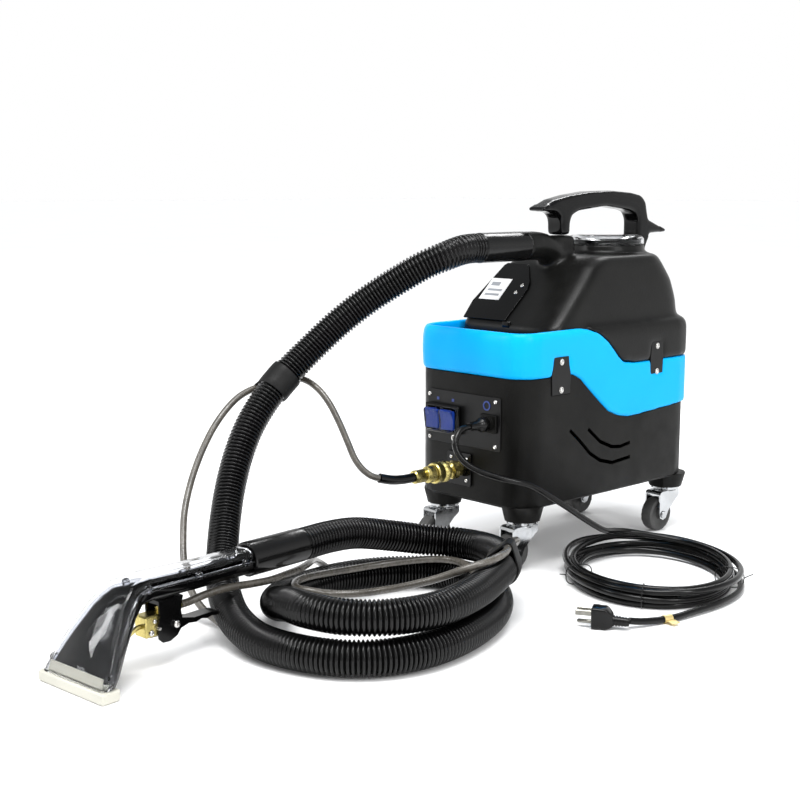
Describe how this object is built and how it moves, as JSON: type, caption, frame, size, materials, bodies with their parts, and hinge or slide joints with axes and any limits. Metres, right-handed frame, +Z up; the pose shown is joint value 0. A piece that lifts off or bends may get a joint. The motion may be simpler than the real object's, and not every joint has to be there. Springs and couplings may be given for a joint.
{
  "type": "carpet cleaner machine",
  "caption": "Portable carpet cleaner on casters: black base, blue solution tank, black recovery tank with handle and clear lid, corrugated vacuum hose, hand wand and coiled mains lead.",
  "frame": {"origin": "on the floor, under the middle of the box round the machine and its wand, cords left out", "axes": "+Z up; -Y is the way the machine's front panel faces and the wand lies; +X is on the right when looking along +Y at the front panel"},
  "size_m": [0.5366, 1.0827, 0.509],
  "materials": {
    "black_shell": "satin black rotomoulded plastic",
    "blue_tank": "bright blue moulded plastic, satin gloss",
    "black_tank": "black moulded plastic with a fine grain",
    "clear_plastic": "clear polycarbonate",
    "black_gloss": "glossy black plastic",
    "black_plate": "satin black painted plate",
    "blue_rocker": "blue rocker under a clear boot",
    "brass": "machined brass",
    "zinc": "bright zinc plate",
    "grey_tyre": "dark grey rubber tread",
    "hose_rubber": "black corrugated hose",
    "grey_hose": "grey smooth hose",
    "cord_rubber": "black cord jacket",
    "white_plastic": "off-white plastic"
  },
  "bodies": {
    "machine": {"base_shell": "black_shell", "carry_handle": "black_gloss", "caster_mount_front_left": "zinc", "caster_mount_front_right": "zinc", "caster_mount_rear_left": "zinc", "caster_mount_rear_right": "zinc", "control_panel": "black_plate", "coupler_nipple": "brass", "coupler_plate": "black_gloss", "coupler_socket": "brass", "front_cover": "black_gloss", "heater": "zinc", "hose_cuff_machine": "black_gloss", "hose_cuff_wand": "black_gloss", "hose_strap_coil": "black_gloss", "hose_strap_upper": "black_gloss", "power_connector": "black_shell", "power_cord": "cord_rubber", "power_cord_coil": "cord_rubber", "power_cord_tail": "cord_rubber", "power_inlet": "black_shell", "power_plug": "cord_rubber", "recovery_tank": "black_tank", "rocker_housing": "black_gloss", "solution_hose": "grey_hose", "solution_hose_sleeve": "hose_rubber", "solution_pump": "black_shell", "solution_tank": "blue_tank", "spray_jet": "brass", "standpipe": "white_plastic", "tie_plate_front_left": "black_plate", "tie_plate_front_right": "black_plate", "tie_plate_rear_left": "black_plate", "tie_plate_rear_right": "black_plate", "trigger_pin": "zinc", "vacuum_hose": "hose_rubber", "vacuum_motor": "black_shell", "wand_body": "black_gloss", "wand_bracket": "black_gloss", "wand_nozzle": "white_plastic", "wand_valve": "brass", "wand_window": "clear_plastic"},
    "swivel_front_left": {"caster_fork_front_left": "zinc", "caster_axle_front_left": "zinc"},
    "wheel_front_left": {"caster_wheel_front_left": "grey_tyre"},
    "swivel_front_right": {"caster_fork_front_right": "zinc", "caster_axle_front_right": "zinc"},
    "wheel_front_right": {"caster_wheel_front_right": "grey_tyre"},
    "swivel_rear_left": {"caster_fork_rear_left": "zinc", "caster_axle_rear_left": "zinc"},
    "wheel_rear_left": {"caster_wheel_rear_left": "grey_tyre"},
    "swivel_rear_right": {"caster_fork_rear_right": "zinc", "caster_axle_rear_right": "zinc"},
    "wheel_rear_right": {"caster_wheel_rear_right": "grey_tyre"},
    "rocker_vacuum": {"rocker_vacuum": "blue_rocker"},
    "rocker_pump": {"rocker_pump": "blue_rocker"},
    "lid": {"recovery_lid": "clear_plastic"},
    "trigger": {"wand_trigger": "black_gloss"},
    "coupler_sleeve": {"coupler_sleeve": "brass"},
    "shutoff_float": {"shutoff_float": "white_plastic"}
  },
  "joints": [
    {"name": "swivel_turn_front_left", "type": "hinge", "parent": "machine", "child": "swivel_front_left", "pos_m": [-0.083, 0.152, 0.0607], "axis": [0, 0, 1], "continuous": true},
    {"name": "wheel_spin_front_left", "type": "hinge", "parent": "swivel_front_left", "child": "wheel_front_left", "pos_m": [-0.0844, 0.13205, 0.0254], "axis": [0.9976, -0.0698, 0], "continuous": true},
    {"name": "swivel_turn_front_right", "type": "hinge", "parent": "machine", "child": "swivel_front_right", "pos_m": [0.067, 0.152, 0.0607], "axis": [0, 0, 1], "continuous": true},
    {"name": "wheel_spin_front_right", "type": "hinge", "parent": "swivel_front_right", "child": "wheel_front_right", "pos_m": [0.0656, 0.13205, 0.0254], "axis": [0.9976, -0.0698, 0], "continuous": true},
    {"name": "swivel_turn_rear_left", "type": "hinge", "parent": "machine", "child": "swivel_rear_left", "pos_m": [-0.084, 0.475, 0.0607], "axis": [0, 0, 1], "continuous": true},
    {"name": "wheel_spin_rear_left", "type": "hinge", "parent": "swivel_rear_left", "child": "wheel_rear_left", "pos_m": [-0.0847, 0.45501, 0.0254], "axis": [0.9994, -0.0349, 0], "continuous": true},
    {"name": "swivel_turn_rear_right", "type": "hinge", "parent": "machine", "child": "swivel_rear_right", "pos_m": [0.068, 0.475, 0.0607], "axis": [0, 0, 1], "continuous": true},
    {"name": "wheel_spin_rear_right", "type": "hinge", "parent": "swivel_rear_right", "child": "wheel_rear_right", "pos_m": [0.0673, 0.45501, 0.0254], "axis": [0.9994, -0.0349, 0], "continuous": true},
    {"name": "rocker_vacuum_tilt", "type": "hinge", "parent": "machine", "child": "rocker_vacuum", "pos_m": [-0.061, 0.1078, 0.197], "axis": [1, 0, 0], "range_deg": [-16, 0]},
    {"name": "rocker_pump_tilt", "type": "hinge", "parent": "machine", "child": "rocker_pump", "pos_m": [-0.032, 0.1078, 0.197], "axis": [1, 0, 0], "range_deg": [-16, 0]},
    {"name": "lid_lift", "type": "slide", "parent": "machine", "child": "lid", "axis": [0, 0, 1], "range_m": [0, 0.022]},
    {"name": "trigger_squeeze", "type": "hinge", "parent": "machine", "child": "trigger", "pos_m": [0.05064, -0.40605, 0.045], "axis": [0.9954, 0.0958, 0], "range_deg": [0, 8], "stiffness_Nm_per_rad": 0.4, "springref_deg": -5.73},
    {"name": "coupler_release", "type": "slide", "parent": "machine", "child": "coupler_sleeve", "axis": [0, 1, 0], "range_m": [0, 0.005], "stiffness_N_per_m": 800, "springref_m": -0.003},
    {"name": "float_rise", "type": "slide", "parent": "machine", "child": "shutoff_float", "axis": [0, 0, 1], "range_m": [0, 0.025]}
  ]
}
